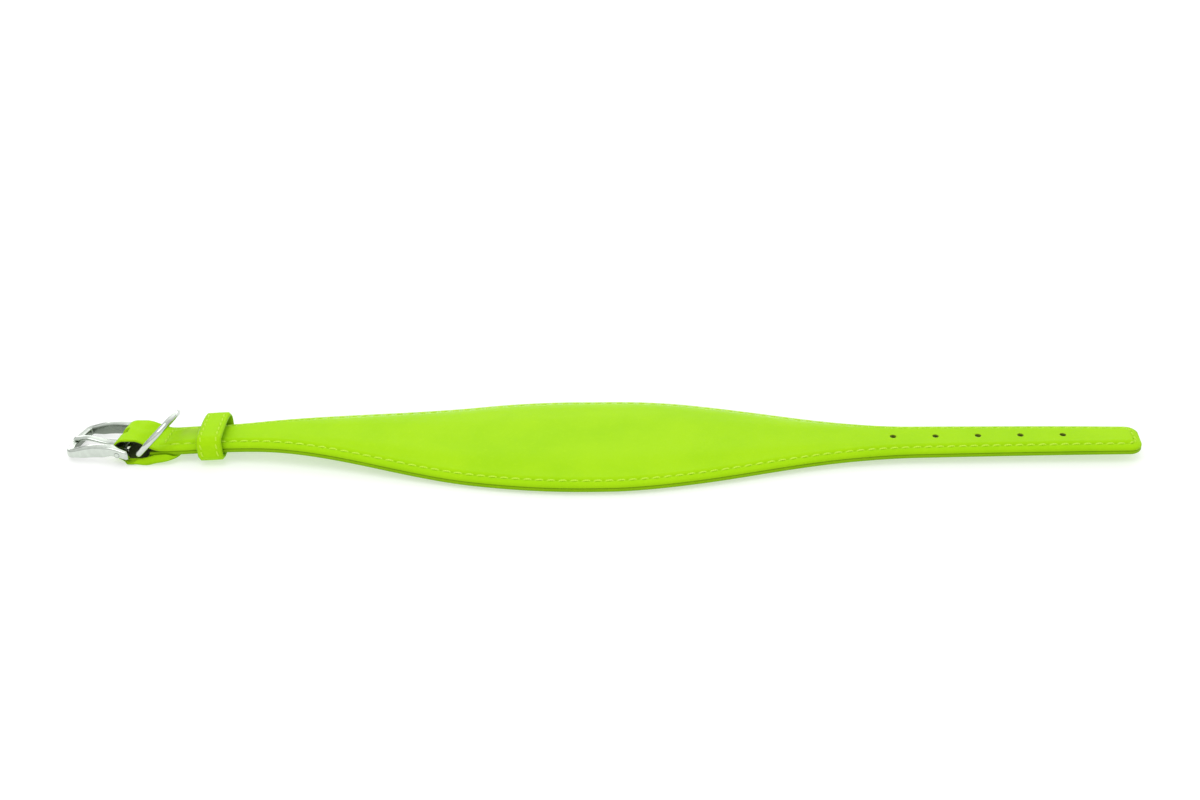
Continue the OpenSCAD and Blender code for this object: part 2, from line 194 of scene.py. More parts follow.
def limeLeather(name, look, dull=0.0):
    material, start, shader = newMaterial(name)
    at = place(start)
    broad = cloud(start, at, 0.045, 4.0)
    mottle = cloud(start, at, 0.6, 5.0, 0.6)
    drift = cloud(start, at, 1.1, 2.0)
    bent = start.make("ShaderNodeVectorMath", {"operation": "MULTIPLY_ADD"},
                      {0: drift, 1: (0.7, 0.7, 0.7), 2: at})
    cells = start.make("ShaderNodeTexVoronoi", {"feature": "DISTANCE_TO_EDGE"},
                       {"Vector": bent, "Scale": 1.5})
    pores = start.make("ShaderNodeTexVoronoi", {"feature": "F1"}, {"Vector": bent, "Scale": 2.3})
    crease = cells.ramp(0.0, 0.16)                  # 0 in the creases between the pebbles
    colour = start.blend(broad.ramp(0.3, 0.7) * 0.6 + 0.4, look["deep"], look["lime"])
    colour = start.blend(mottle.ramp(0.5, 0.8) * 0.4, colour, look["pale"])
    colour = start.blend((1 - crease) * 0.1, colour, look["deep"])
    wear = mark(start, "wear")                      # painted shade in the seams, grooves and crevices and on the far margin; darker along edges and undersides
    colour = start.blend(wear * 0.75, colour, look["shade"])
    rub = mark(start, "rub")                        # dull patch where the loose end rubs
    colour = start.blend(rub * 0.5, colour, look["rubbed"])
    turn = start.make("ShaderNodeMath", {"operation": "FRACT"}, {0: mark(start, "stitchTurn")})
    aside = start.make("ShaderNodeMath", {"operation": "ABSOLUTE"}, {0: turn - 0.5})
    pit = aside.ramp(0.36, 0.46) * mark(start, "inSeam")    # needle pits between the stitches, with painted shade in them
    colour = start.blend(pit * 0.25, colour, look["pit"])
    rough = look["rough"] + (mottle - 0.5) * 0.16 + (1 - crease) * 0.08 + rub * 0.15 + dull
    height = crease * 0.6 + pores * 0.3 + mottle * 0.5 - pit * 1.5
    bump = bumpy(start, look["grain"], 0.00012, height)
    feed(start, shader, Base_Color=colour, Roughness=rough, Normal=bump)
    feed(start, shader, IOR=1.46, Specular_IOR_Level=look["gloss"])
    feed(start, shader, Coat_Weight=mark(start, "polish"), Coat_Roughness=0.25)
    feed(start, shader, Sheen_Weight=look["sheen"], Sheen_Roughness=0.35, Sheen_Tint=(0.85, 1.0, 0.6, 1))
    return material


def fleshSide(name, tone):
    material, start, shader = newMaterial(name)
    at = place(start)
    nap = cloud(start, at, 3.5, 6.0, 0.7)
    colour = start.blend(nap.ramp(0.3, 0.7), tone[0], tone[1])
    bump = bumpy(start, 0.5, 0.0001, nap)
    feed(start, shader, Base_Color=colour, Roughness=0.75 + nap * 0.2, Normal=bump)
    return material


def waxedThread(name):
    material, start, shader = newMaterial(name)
    ply = mark(start, "ply")                        # turns along the twist of the thread
    twist = start.make("ShaderNodeMath", {"operation": "SINE"}, {0: ply * 6.2832}) * 0.5 + 0.5
    fuzz = cloud(start, place(start), 6.0, 4.0)
    colour = start.blend(twist, (0.44, 0.72, 0.018, 1), (0.54, 0.82, 0.04, 1))
    colour = start.blend(fuzz.ramp(0.55, 0.8) * 0.4, colour, (0.68, 0.92, 0.12, 1))
    bump = bumpy(start, 0.3, 0.0001, twist)
    feed(start, shader, Base_Color=colour, Roughness=0.5 + fuzz * 0.2, Normal=bump)
    feed(start, shader, Specular_IOR_Level=0.3)
    return material


def brightPlate(name):
    material, start, shader = newMaterial(name)
    at = place(start)
    haze = cloud(start, at, 0.5, 5.0, 0.65)
    drawn = start.make("ShaderNodeVectorMath", {"operation": "MULTIPLY"}, {0: at, 1: (0.4, 6.0, 6.0)})
    scuffs = cloud(start, drawn, 1.4, 3.0)
    # tinted slightly green: a painted reflection of the lime leather
    colour = start.blend(haze.ramp(0.3, 0.75), (0.56, 0.61, 0.55, 1), (0.64, 0.7, 0.63, 1))
    dull = mark(start, "inside")                    # painted dark reflection and shade on the frame's inner faces, the bar end rims and the ring's straight side; rougher there too
    colour = start.blend(dull * 0.8, colour, (0.14, 0.17, 0.13, 1))
    bump = bumpy(start, 0.05, 0.00005, scuffs)
    feed(start, shader, Base_Color=colour, Roughness=0.07 + haze * 0.09 + dull * 0.15, Normal=bump)
    feed(start, shader, Metallic=1.0)
    return material


def stayWeave(name):
    material, start, shader = newMaterial(name)
    at = place(start)
    warp = start.make("ShaderNodeTexWave", {"wave_type": "BANDS", "bands_direction": "X"},
                      {"Vector": at, "Scale": 0.9}, 1)
    weft = start.make("ShaderNodeTexWave", {"wave_type": "BANDS", "bands_direction": "Y"},
                      {"Vector": at, "Scale": 0.9}, 1)
    cloth = warp * weft
    colour = start.blend(cloth, (0.62, 0.62, 0.55, 1), (0.86, 0.86, 0.8, 1))
    bump = bumpy(start, 0.5, 0.0001, cloth)
    feed(start, shader, Base_Color=colour, Roughness=0.85 - cloth * 0.1, Normal=bump)
    return material


def closedFoam(name):
    material, start, shader = newMaterial(name)
    cells = start.make("ShaderNodeTexVoronoi", {"feature": "F1"},
                       {"Vector": place(start), "Scale": 1.8})
    colour = start.blend(cells.ramp(0.1, 0.6), (0.92, 0.92, 0.86, 1), (0.78, 0.78, 0.7, 1))
    bump = bumpy(start, 0.4, 0.0002, cells)
    feed(start, shader, Base_Color=colour, Roughness=0.9 - cells * 0.1, Normal=bump)
    return material


topLeather = limeLeather("lime_leather", leatherLook)
liningLeather = limeLeather("lime_lining", {**leatherLook, "lime": (0.31, 0.6, 0.004, 1),
                                            "deep": (0.25, 0.52, 0.002, 1)}, 0.08)
# hole walls painted a dark olive for the shade inside the holes
punchedLeather = fleshSide("leather_punched", ((0.16, 0.22, 0.008, 1), (0.26, 0.35, 0.018, 1)))
# flesh side painted near-black, standing in for the shade inside the fold
shadedFleshLeather = fleshSide("leather_flesh_painted_shade", ((0.025, 0.04, 0.003, 1), (0.07, 0.11, 0.008, 1)))
threadLook = waxedThread("lime_thread")
chromeLook = brightPlate("bright_plate")
tapeLook = stayWeave("stay_weave")
foamLook = closedFoam("closed_foam")
print("materials made")


# outline, layers and lie of the strap, in millimetres
strap = {
    "width": 15.5, "rootWidth": 18.6, "rootAt": 100.0, "tip": 198.5, "tipWidth": 15.4, "tipRound": 4.5,
    "tipSkew": 0.1, "skewFrom": 9.0, "skewFull": 2.0, "padWidth": 57.2, "padRun": 9.0,
    "taperBuckle": 131.0, "taperTip": 110.0, "bow": 1.0, "bowFull": 40.0, "bowBack": 60.0, "bowEnd": 120.0,
    "foldReach": 158.6, "foldTrim": 1.5, "endDrop": 1.0, "askew": 8.0,
    "barRadius": 1.3, "barRoom": 1.9, "barBack": 0.8,
    "outer": 1.1, "lining": 1.55, "tape": 0.9, "tapeInset": 0.8, "skin": 0.04,
    "padRise": 0.9, "padHalf": 92.0, "padFade": 24.0, "padCore": 0.45,
    "humpAt": -113.0, "humpLift": 3.6, "keeperSlope": 0.06, "flatLeft": -36.0, "flatRight": 8.0, "tipLift": 2.1,
    "seamInset": 2.6, "seamRise": 0.55, "holes": [111.0, 126.0, 141.0, 156.0, 171.0], "holeSize": 2.2,
}
strapThick = strap["lining"] + strap["tape"] + strap["outer"]
foldIn = strap["barRadius"] + strap["barRoom"]
foldOut = foldIn + strap["outer"]
foldX = -strap["foldReach"]
foldZ = foldOut - strap["endDrop"]
barAt = (foldX - strap["barBack"] * strap["barRoom"], foldZ)
foldTop, dipX, ringX = foldX + 3.4, foldX + 5.6, foldX + 6.4
liningX, joinX, seamX, flapX = foldX + 9.0, foldX + 12.4, foldX + 13.4, foldX + 17.0
tanSkew = math.tan(math.radians(strap["askew"]))
turnEnd = Matrix.Rotation(math.radians(-strap["askew"]), 3, "Z")
keeperX = -128.8
straightX = keeperX - 8.9


def lift(x):
    s = strap
    if x < s["humpAt"]:
        return s["humpLift"] + s["keeperSlope"] * (x - s["humpAt"])
    if x < s["flatLeft"]:
        run = s["flatLeft"] - s["humpAt"]
        t = (x - s["humpAt"]) / run
        return ((2 * t ** 3 - 3 * t ** 2 + 1) * s["humpLift"]
                + (t ** 3 - 2 * t ** 2 + t) * s["keeperSlope"] * run)
    if x < s["flatRight"]:
        return 0.0
    return s["tipLift"] * ease(x, s["flatRight"], s["tip"])


def fullHalf(x):
    s = strap
    towardTip = clamp((x - s["rootAt"]) / (s["tip"] - s["rootAt"]))
    narrow = s["width"] if x < 0 else mix(s["rootWidth"], s["tipWidth"], towardTip)
    along = -x / s["taperBuckle"] if x < 0 else max(x - s["padRun"], 0.0) / s["taperTip"]
    swell = 0.5 + 0.5 * math.cos(math.pi * along) if along < 1 else 0.0
    return mix(narrow, s["padWidth"], swell) / 2


def halfWidth(x):
    d = max(x - strap["tip"] + strap["tipRound"], 0.0)
    return fullHalf(x) - strap["tipRound"] + math.sqrt(max(strap["tipRound"] ** 2 - d * d, 0.0))


# sideways bow of the strap, which lies a little off straight
def bow(x):
    s = strap
    return s["bow"] * ease(x, 0, s["bowFull"]) * (1 - ease(x, s["bowBack"], s["bowEnd"]))


# sideways slant of the sections: at the buckle end, and at the tip
def shear(x):
    s = strap
    atTip = ease(x, s["tip"] - s["skewFrom"], s["tip"] - s["skewFull"])
    return tanSkew * (1 - ease(x, joinX, straightX)) + s["tipSkew"] * atTip


def foam(x):
    return strap["padRise"] * ease(abs(x), strap["padHalf"] + strap["padFade"], strap["padHalf"] / 2)


def edgeDistance(x, y):
    s = strap
    half = fullHalf(x)
    d = half - abs(y)
    intoTip = x - (s["tip"] - s["tipRound"])
    if intoTip > 0:
        over = abs(y) - (half - s["tipRound"])
        if over > 0:
            return s["tipRound"] - math.hypot(intoTip, over)
    return min(d, s["tip"] - x)


def seamY(half):
    return half - min(strap["seamInset"], half / 2)


def tapeY(half):
    s = seamY(half)
    return s - min(strap["tapeInset"], s / 2)


def crown(x, y):
    half = halfWidth(x)
    outerY, innerY = tapeY(half), tapeY(half) * strap["padCore"]
    return foam(x) * smooth((outerY - abs(y)) / (outerY - innerY))


# section of the outer leather above its seat: turned-in margin, sewn valley, then tape and foam beneath
sewn = {"edgeLow": 0.3, "valley": 0.22, "valleyWide": 0.45, "shoulder": 1.5, "flatRoll": 0.5, "fade": 3.0,
        "least": 0.12}


def tapeShare(x):
    return ease(x, joinX - sewn["fade"], joinX + sewn["fade"])


def hideSection(d, share, under=0.0):
    s = strap
    t = clamp(d / sewn["flatRoll"])
    roll = math.sqrt(max(1 - (1 - t) ** 2, 0.0))
    flat, flatLow = mix(s["outer"] / 2, s["outer"], roll), mix(s["outer"] / 2, 0.0, roll)
    tape, seamTop = s["tape"] + s["skin"], s["outer"] + s["seamRise"]
    margin = mix(sewn["edgeLow"], seamTop, math.sqrt(clamp(d / s["seamInset"])))
    shoulder = ease(d, s["seamInset"], s["seamInset"] + sewn["shoulder"])
    margin += (tape + s["outer"] - seamTop) * shoulder
    margin -= sewn["valley"] * math.exp(-((d - s["seamInset"]) / sewn["valleyWide"]) ** 2)
    tapeRise = ease(d, s["seamInset"], s["seamInset"] + s["tapeInset"])
    marginLow = min(tape * tapeRise, margin - sewn["least"])
    return mix(flat, margin, share) + under, mix(flatLow, marginLow, share) + under


def seat(x):
    return lift(x) + strap["lining"] + strap["skin"]


def topOf(x, y):
    return seat(x) + hideSection(edgeDistance(x, y), tapeShare(x), crown(x, y))[0]


# closer rows of points where the section bends
edgeSteps = [0.0, 0.04, 0.12, 0.25, 0.42, 0.65, 0.95, 1.3, 1.65, 1.95, 2.2, 2.36, 2.48, 2.6,
             2.72, 2.86, 3.05, 3.35, 3.75, 4.2, 4.7]
tipSteps = [5.2] + edgeSteps[::-1]
sewnRows = span(joinX, strap["tip"] - 5.8, 390) + [strap["tip"] - d for d in tipSteps]
narrowHalf = 6.6


def acrossRow(half, middle=8):
    scale = min(1.0, half / narrowHalf)
    near = [half - d * scale for d in edgeSteps]
    near = near + [near[-1] * (1 - i / middle) for i in range(1, middle + 1)]
    return near + [-v for v in near[-2::-1]]


def meshFrom(name, points, faces, material, marks=None):
    mesh = bpy.data.meshes.new(name)
    mesh.from_pydata([Vector(p) * mm for p in points], [], faces)
    mesh.validate()
    piece = bpy.data.objects.new(name, mesh)
    bpy.context.scene.collection.objects.link(piece)
    for look in material if isinstance(material, (list, tuple)) else [material]:
        mesh.materials.append(look)
    for key, values in (marks or {}).items():
        layer = mesh.attributes.new(key, "FLOAT", "POINT")
        layer.data.foreach_set("value", values)
    mesh.polygons.foreach_set("use_smooth", [True] * len(mesh.polygons))
    repair = bmesh.new()
    repair.from_mesh(mesh)
    bmesh.ops.recalc_face_normals(repair, faces=repair.faces)
    repair.to_mesh(mesh)
    repair.free()
    return piece


# rings of points, all the same count, joined into a closed skin
def loft(rings, loop=False):
    count = len(rings[0])
    points = [p for ring in rings for p in ring]
    faces = []
    last = len(rings) if loop else len(rings) - 1
    for i in range(last):
        j = (i + 1) % len(rings)
        for k in range(count):
            m = (k + 1) % count
            faces.append((i * count + k, i * count + m, j * count + m, j * count + k))
    if not loop:
        faces.append(tuple(range(count - 1, -1, -1)))
        faces.append(tuple((len(rings) - 1) * count + k for k in range(count)))
    return points, faces


def cutWith(piece, cutters):
    for cutter in cutters:
        tool = piece.modifiers.new("cut", "BOOLEAN")
        tool.operation = "DIFFERENCE"
        tool.solver = "EXACT"
        tool.material_mode = "TRANSFER"
        tool.object = cutter
    graph = bpy.context.evaluated_depsgraph_get()
    solved = piece.evaluated_get(graph)
    cut = bpy.data.meshes.new_from_object(solved, preserve_all_data_layers=True, depsgraph=graph)
    piece.modifiers.clear()
    piece.data = cut
    for cutter in cutters:
        bpy.data.objects.remove(cutter)


def lathe(name, profile, centre, material, sides=40):
    rings = []
    for r, z in profile:
        rings.append([(centre[0] + r * math.cos(2 * math.pi * k / sides),
                       centre[1] + r * math.sin(2 * math.pi * k / sides), z) for k in range(sides)])
    points, faces = loft(rings)
    return meshFrom(name, points, faces, material)


# a straight punch that opens a little at the grain side; the leather closes after it
punch = {"outer": 1.6, "through": 4.5, "closing": 0.05,
         "mouth": [(0.0, -0.3), (0.02, -0.12), (0.06, 0.02), (0.16, 0.5)]}


def holeCutters(depth):
    cutters = []
    for x in strap["holes"]:
        top = topOf(x, 0)
        r = strap["holeSize"] / 2 - punch["closing"]
        profile = [(r, top - depth)] + [(r + wider, top + up) for wider, up in punch["mouth"]]
        cutters.append(lathe("hole_cutter", profile, (x, bow(x)), punchedLeather))
    return cutters


def onto(piece, body, material, *nodes):
    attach(piece, body)
    if nodes:
        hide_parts(*nodes)
    return piece


# outer leather: turned-back flap, bend round the bar, run down to the strap, then the strap itself
foldLeather = {
    "flare": 1.8, "flareAt": -1.4, "flareLong": 3.2, "flareTurn": 225, "flapRound": 4.5, "flapMore": 1.4,
    "puff": 1.15, "puffFrom": -155.4, "puffLong": 2.5, "puffOut": 4.0, "tuck": 0.42, "tuckWide": 0.4,
    "droop": 0.85, "droopFrom": -154.5, "droopFull": -149.0, "droopOut": 7.0, "droopIn": 5.5, "droopSide": 7.6,
    "pucker": 0.2, "puckerEnd": 20, "bareRows": 15, "bareHalf": 6.8,
}
foldHalf = (strap["width"] - strap["foldTrim"]) / 2
flapEnd = flapX + foldLeather["flapMore"]


def flapZ(x):
    return mix(strap["outer"] - strap["endDrop"], lift(x) - 0.1, ease(x, dipX, joinX))


def runZ(x):
    return mix(foldZ + foldIn, seat(x), ease(x, foldTop, joinX))


def flapHalf(x):
    f = foldLeather
    d = max(x - flapEnd + f["flapRound"], 0.0)
    flareX = foldX + f["flareAt"]
    wide = mix(foldHalf, strap["width"] / 2 + f["flare"], ease(x, flareX, flareX + f["flareLong"]))
    return wide - f["flapRound"] + math.sqrt(max(f["flapRound"] ** 2 - d * d, 0.0))


def runHalf(x):
    return (strap["width"] - strap["foldTrim"] * (1 - ease(x, foldTop, joinX))) / 2


# the flap's rim swells where it stands clear of the strap above it
def puff(x, y):
    f = foldLeather
    half = flapHalf(x)
    inner = strap["width"] / 2 + 0.1
    share = clamp((abs(y) - inner) / max(half - inner, 0.1))
    along = ease(x, f["puffFrom"], f["puffFrom"] + f["puffLong"]) * ease(flapEnd - x, 0.0, f["puffOut"])
    atRim = ease(abs(y), foldHalf - f["tuckWide"], foldHalf + f["tuckWide"])
    tuck = f["tuck"] * (1 - along) * atRim          # room for the ear above
    if 0 < share < 1:
        return f["puff"] * along * math.sin(math.pi * share) ** 0.7 - tuck
    return -tuck


# and hangs a little below
def droop(x, y):
    f = foldLeather
    return (f["droop"] * ease(x, f["droopFrom"], f["droopFull"]) * ease(flapEnd - x, 0.0, f["droopOut"])
            * ease(abs(y), f["droopIn"], f["droopSide"]))


def singleHide(half, x, z, normal, share=0.0, flap=False):
    top, low, wear = [], [], []
    for y in acrossRow(half):
        d = half - abs(y)
        up, down = hideSection(d, share)
        up += foldLeather["pucker"] * noise.noise(Vector((x * 0.32, y * 0.3, z * 0.32))) * clamp(d)
        if flap:
            down -= puff(x, y)
            up += droop(x, y)
        top.append((x + up * normal[0] + y * shear(x), y, z + up * normal[1]))
        low.append((x + down * normal[0] + y * shear(x), y, z + down * normal[1]))
        # darker along the edges and underneath, less under the flap
        wear.append(0.35 * math.exp(-(d / 0.35) ** 2))
    return top + low[::-1], wear + [0.1 if flap else 0.6] * len(low)


def sewnHide(x):
    top, low, wear = [], [], []
    share = tapeShare(x)
    nearFold = 1 - ease(x, joinX, keeperX + foldLeather["puckerEnd"])
    for y in acrossRow(halfWidth(x)):
        d = edgeDistance(x, y)
        up, down = hideSection(d, share, crown(x, y))
        pucker = foldLeather["pucker"] * nearFold * noise.noise(Vector((x * 0.32, y * 0.3, 2.0)))
        wobble = 0.05 * noise.noise(Vector((x * 0.05, y * 0.08, 1.0))) + pucker * clamp(d - strap["seamInset"])
        top.append((x + y * shear(x), y + bow(x), seat(x) + up + wobble))
        low.append((x + y * shear(x), y + bow(x), seat(x) + down))
        # painted shade in the seam valley and on the far margin, which faces away from the light; darker along
        # the edge and underneath
        seamDark = 0.1 * share * math.exp(-((d - strap["seamInset"]) / 0.3) ** 2)
        farMarginShade = 0.6 * share * ease(y, 1.0, 4.0) * math.exp(-(d / 0.8) ** 2)
        wear.append(max(seamDark, farMarginShade, 0.2 * math.exp(-(d / 0.5) ** 2)))
    return top + low[::-1], wear + [0.9] * len(low)


stitching = {"first": 2.0, "pitch": 4.0, "long": 3.2, "thread": 0.36, "flat": 0.75, "bow": 0.14, "dive": 0.36,
             "slant": 0.4, "sunk": 0.16, "gap": 0.08}


# where a point lies along the stitch row, and how near to it
def seamMarks(points):
    turns, near = [], []
    for px, py, pz in points:
        turns.append((px - seamX - stitching["first"] - stitching["long"] / 2) / stitching["pitch"] + 0.5)
        d = edgeDistance(px - py * shear(px), py - bow(px))
        near.append(math.exp(-((d - strap["seamInset"]) / 0.3) ** 2) * tapeShare(px))
    return turns, near


# rubbed smooth along the far edge of the wide middle
def farPolish(px, py):
    y = py - bow(px)
    d = edgeDistance(px - y * shear(px), y)
    band = ease(d, 0.5, 1.6) * math.exp(-(max(d - 1.6, 0.0) / 2.6) ** 2)
    return band * ease(y, 2.0, 6.0) * ease(fullHalf(px), 9.0, 14.0)


# dull patch where the loose end rubs
rubbed = {"from": -142.5, "full": -140, "fade": -135, "to": -132, "side": 2.5, "wide": 4}


def rubAt(px, py):
    r = rubbed
    along = ease(px, r["from"], r["full"]) * (1 - ease(px, r["fade"], r["to"]))
    return along * math.exp(-((py - r["side"]) / r["wide"]) ** 2)


# slot for the tongue: a wedge out of the bend, in degrees round it
tongueSlot = {"from": 100, "to": 246, "half": 1.6}


def slotCutter():
    reach = 2 * foldOut
    wedge = [(0.0, 0.0)]
    for a in span(tongueSlot["from"], tongueSlot["to"], 6):
        wedge.append((reach * math.cos(math.radians(a)), reach * math.sin(math.radians(a))))
    rings = []
    for y in (-tongueSlot["half"], tongueSlot["half"]):
        rings.append([tuple(turnEnd @ Vector((px, y, pz)) + Vector((foldX, 0, foldZ))) for px, pz in wedge])
    points, faces = loft(rings)
    return meshFrom("slot_cutter", points, faces, topLeather)


def outerLeather():
    f = foldLeather
    stations = []
    for x in [flapEnd - f["flapRound"] * (1 - math.cos(math.pi / 2 * i / 8)) for i in range(9)]:
        stations.append(singleHide(max(flapHalf(x), 1.2), x, flapZ(x), (0, -1), 0.0, True))
    roundX, closeX, bendX = flapEnd - f["flapRound"], foldX + 4.4, foldX + 2.9
    for x in span(roundX, closeX, 16)[1:] + span(closeX, bendX, 6)[1:] + span(bendX, foldX, 4)[1:-1]:
        stations.append(singleHide(flapHalf(x), x, flapZ(x), (0, -1), 0.0, True))
    flapCount = len(stations)
    for a in span(270, 90, 28):
        c, s = math.cos(math.radians(a)), math.sin(math.radians(a))
        half = flapHalf(foldX + foldIn * c) if a > f["flareTurn"] else foldHalf
        stations.append(singleHide(half, foldX + foldIn * c, foldZ + foldIn * s, (c, s)))
    for x in span(foldX, joinX, 20)[1:-1]:
        stations.append(singleHide(runHalf(x), x, runZ(x), (0, 1), tapeShare(x)))
    for x in sewnRows:
        stations.append(sewnHide(x))
    points, faces = loft([s[0] for s in stations])
    turns, near = seamMarks(points)
    marks = {"wear": [w for s in stations for w in s[1]], "rub": [rubAt(p[0], p[1]) for p in points],
             "stitchTurn": turns, "inSeam": near, "polish": [farPolish(p[0], p[1]) for p in points]}
    piece = meshFrom("outer_leather_hide", points, faces, [topLeather, shadedFleshLeather], marks)
    count = len(stations[0][0])
    for face in piece.data.polygons:                # rough flesh side inside the fold, painted near-black for its shade
        inner = all(count // 2 <= v % count for v in face.vertices)
        station = min(v // count for v in face.vertices)
        underRing = station >= flapCount - f["bareRows"] and abs(face.center.y) < f["bareHalf"] * mm
        if inner and (station >= flapCount or underRing):
            face.material_index = 1
    slot = slotCutter()
    cutWith(piece, holeCutters(punch["outer"]) + [slot])
    return onto(piece, "strap", "leather", "outer_leather")


outerLeather()
print("outer leather sewn")


# lining leather: rounded edges, a groove for the lower thread
liningCut = {"roll": 0.5, "edgeTop": 0.72, "edgeLow": 0.32, "groove": 0.6, "grooveWide": 0.4}


def liningRing(x):
    top, low, wear, paintedShadeLow = [], [], [], []
    thick = strap["lining"]
    for y in acrossRow(halfWidth(x)):
        d = edgeDistance(x, y)
        t = clamp(d / liningCut["roll"])
        rolled = math.sqrt(max(1 - (1 - t) ** 2, 0.0))
        up = mix(thick * liningCut["edgeTop"], thick, rolled)
        down = mix(thick * liningCut["edgeLow"], 0.0, rolled)
        inSeam = math.exp(-((d - strap["seamInset"]) / liningCut["grooveWide"]) ** 2)
        down += liningCut["groove"] * inSeam
        top.append((x + y * shear(x), y + bow(x), lift(x) + up))
        low.append((x + y * shear(x), y + bow(x), lift(x) + down))
        wear.append(mix(0.45, 0.95, ease(d, 0.08, 0.35)))   # painted shade in the crevice where the two hides meet, and down the side edge
        # painted shade in the lower thread's groove and on the low edge
        paintedShadeLow.append(max(0.4 * inSeam, 0.55 * math.exp(-(d / 0.4) ** 2)))
    return top + low[::-1], wear + paintedShadeLow[::-1]


def liningHide():
    stations = [liningRing(x) for x in span(liningX, joinX, 5)[:-1] + sewnRows]
    points, faces = loft([s[0] for s in stations])
    turns, near = seamMarks(points)
    piece = meshFrom("lining_leather_hide", points, faces, liningLeather,
                     {"wear": [w for s in stations for w in s[1]], "stitchTurn": turns, "inSeam": near})
    cutWith(piece, holeCutters(punch["through"]))
    return onto(piece, "strap", "lining", "lining_leather")


liningHide()
print("lining sewn")


def stayTape():
    rings = []
    firstX, lastX = joinX + 5, strap["tip"] - 5.4
    for x in span(firstX, lastX, 220):
        y = tapeY(halfWidth(x))
        z = seat(x)
        ys = span(y, -y, 10)
        top = z + strap["tape"] - strap["skin"]
        rings.append([(x + v * shear(x), v + bow(x), top) for v in ys]
                     + [(x + v * shear(x), v + bow(x), z + 0.01) for v in ys[::-1]])
    points, faces = loft(rings)
    piece = meshFrom("stay_tape_web", points, faces, tapeLook)
    cutWith(piece, holeCutters(punch["through"]))
    return onto(piece, "strap", "tape", "stay_tape")


# foam under the crown of the outer leather, a little clear of it
padFoam = {"half": 90, "fade": 6, "edge": 0.42, "clear": 0.16, "least": 0.03}


def centerPad():
    rings = []
    p = padFoam
    for x in span(-p["half"], p["half"], 150):
        tapeEdge = tapeY(halfWidth(x))
        edge = mix(tapeEdge, tapeEdge * strap["padCore"], p["edge"])
        fade = smooth((p["half"] - abs(x)) / p["fade"])
        ys = span(edge, -edge, 24)
        base = seat(x) + strap["tape"]
        top = [base + p["least"] + fade * max(crown(x, v) - p["clear"], 0.0) for v in ys]
        rings.append([(x, v + bow(x), z) for v, z in zip(ys, top)] + [(x, v + bow(x), base) for v in ys[::-1]])
    points, faces = loft(rings)
    piece = meshFrom("center_pad_foam", points, faces, foamLook)
    return onto(piece, "strap", "foam", "center_pad")


stayTape()
centerPad()
print("tape and foam laid in")


# stitches: short bowed threads whose ends go down into the leather
def threadRow(name, stitches, radius, body, node):
    points, faces, ply = [], [], []
    sides, steps = 8, 10
    for number, (a, b, up) in enumerate(stitches):
        a, b, up = Vector(a), Vector(b), Vector(up).normalized()
        along = (b - a).normalized()
        side = up.cross(along).normalized()
        lean = stitching["slant"] * (0.8 + 0.5 * jitter(number * 3.1))
        base = len(points)
        for i in range(steps + 1):
            t = i / steps
            high = stitching["bow"] + 0.03 * jitter(number * 1.7 + 9)
            rise = high - (high + stitching["dive"]) * abs(2 * t - 1) ** 3
            centre = a.lerp(b, t) + up * rise + side * lean * (t - 0.5)
            thin = 1 - 0.45 * abs(2 * t - 1) ** 6
            for k in range(sides):
                turn = 2 * math.pi * k / sides
                spoke = side * math.cos(turn) + up * stitching["flat"] * math.sin(turn)
                points.append(centre + spoke * radius * thin)
                ply.append(t * 4.5 + k / sides)
        for i in range(steps):
            here, there = base + i * sides, base + (i + 1) * sides
            for k in range(sides):
                m = (k + 1) % sides
                faces.append((here + k, here + m, there + m, there + k))
        faces.append(tuple(base + k for k in range(sides - 1, -1, -1)))
        faces.append(tuple(base + steps * sides + k for k in range(sides)))
    piece = meshFrom(name, points, faces, threadLook, {"ply": ply})
    return onto(piece, body, "thread", node)


def seamPoint(x, side):
    y = side * seamY(halfWidth(x))
    return x + y * shear(x), y + bow(x)


def edgeStitches(height, up):
    long, gap = stitching["long"], stitching["gap"]
    first, last = seamX + stitching["first"], strap["tip"] - strap["seamInset"] - 2.4
    count = int((last - first - long) // stitching["pitch"]) + 1
    out = []
    for side in (-1, 1):
        for i in range(count):
            x = first + i * stitching["pitch"] + 0.12 * jitter(i + 50 * side)
            a, b = seamPoint(x, side), seamPoint(x + long, side)
            ya, yb = a[1] - bow(x), b[1] - bow(x + long)
            out.append(((a[0], a[1], height(x, ya)), (b[0], b[1], height(x + long, yb)), up))
    endX = strap["tip"] - strap["seamInset"]
    across = seamY(fullHalf(endX))
    for side in (-1, 1):                            # round the corner, then across the tip
        corner = [(endX - 2.9, across), (endX - 0.75, across - 0.7), (endX, across - 2.4), (endX, 0.25)]
        for (ax, ay), (bx, by) in zip(corner[:-1], corner[1:]):
            ax, ay, bx, by = mix(ax, bx, gap), mix(ay, by, gap), mix(bx, ax, gap), mix(by, ay, gap)
            out.append(((ax, side * ay, height(ax, ay)), (bx, side * by, height(bx, by)), up))
    return out


def edgeThreads():
    def onTop(x, y):                                # worn flat under the loose end
        return topOf(x, y) + 0.04 - stitching["sunk"] * (1 - ease(x, keeperX, keeperX + 8))

    top = edgeStitches(onTop, (0, 0, 1))
    threadRow("edge_thread_upper", top, stitching["thread"], "strap", "edge_thread_top")
    low = edgeStitches(lambda x, y: lift(x) + 0.42, (0, 0, -1))
    threadRow("edge_thread_lower", low, stitching["thread"] * 0.85, "strap", "edge_thread_bottom")


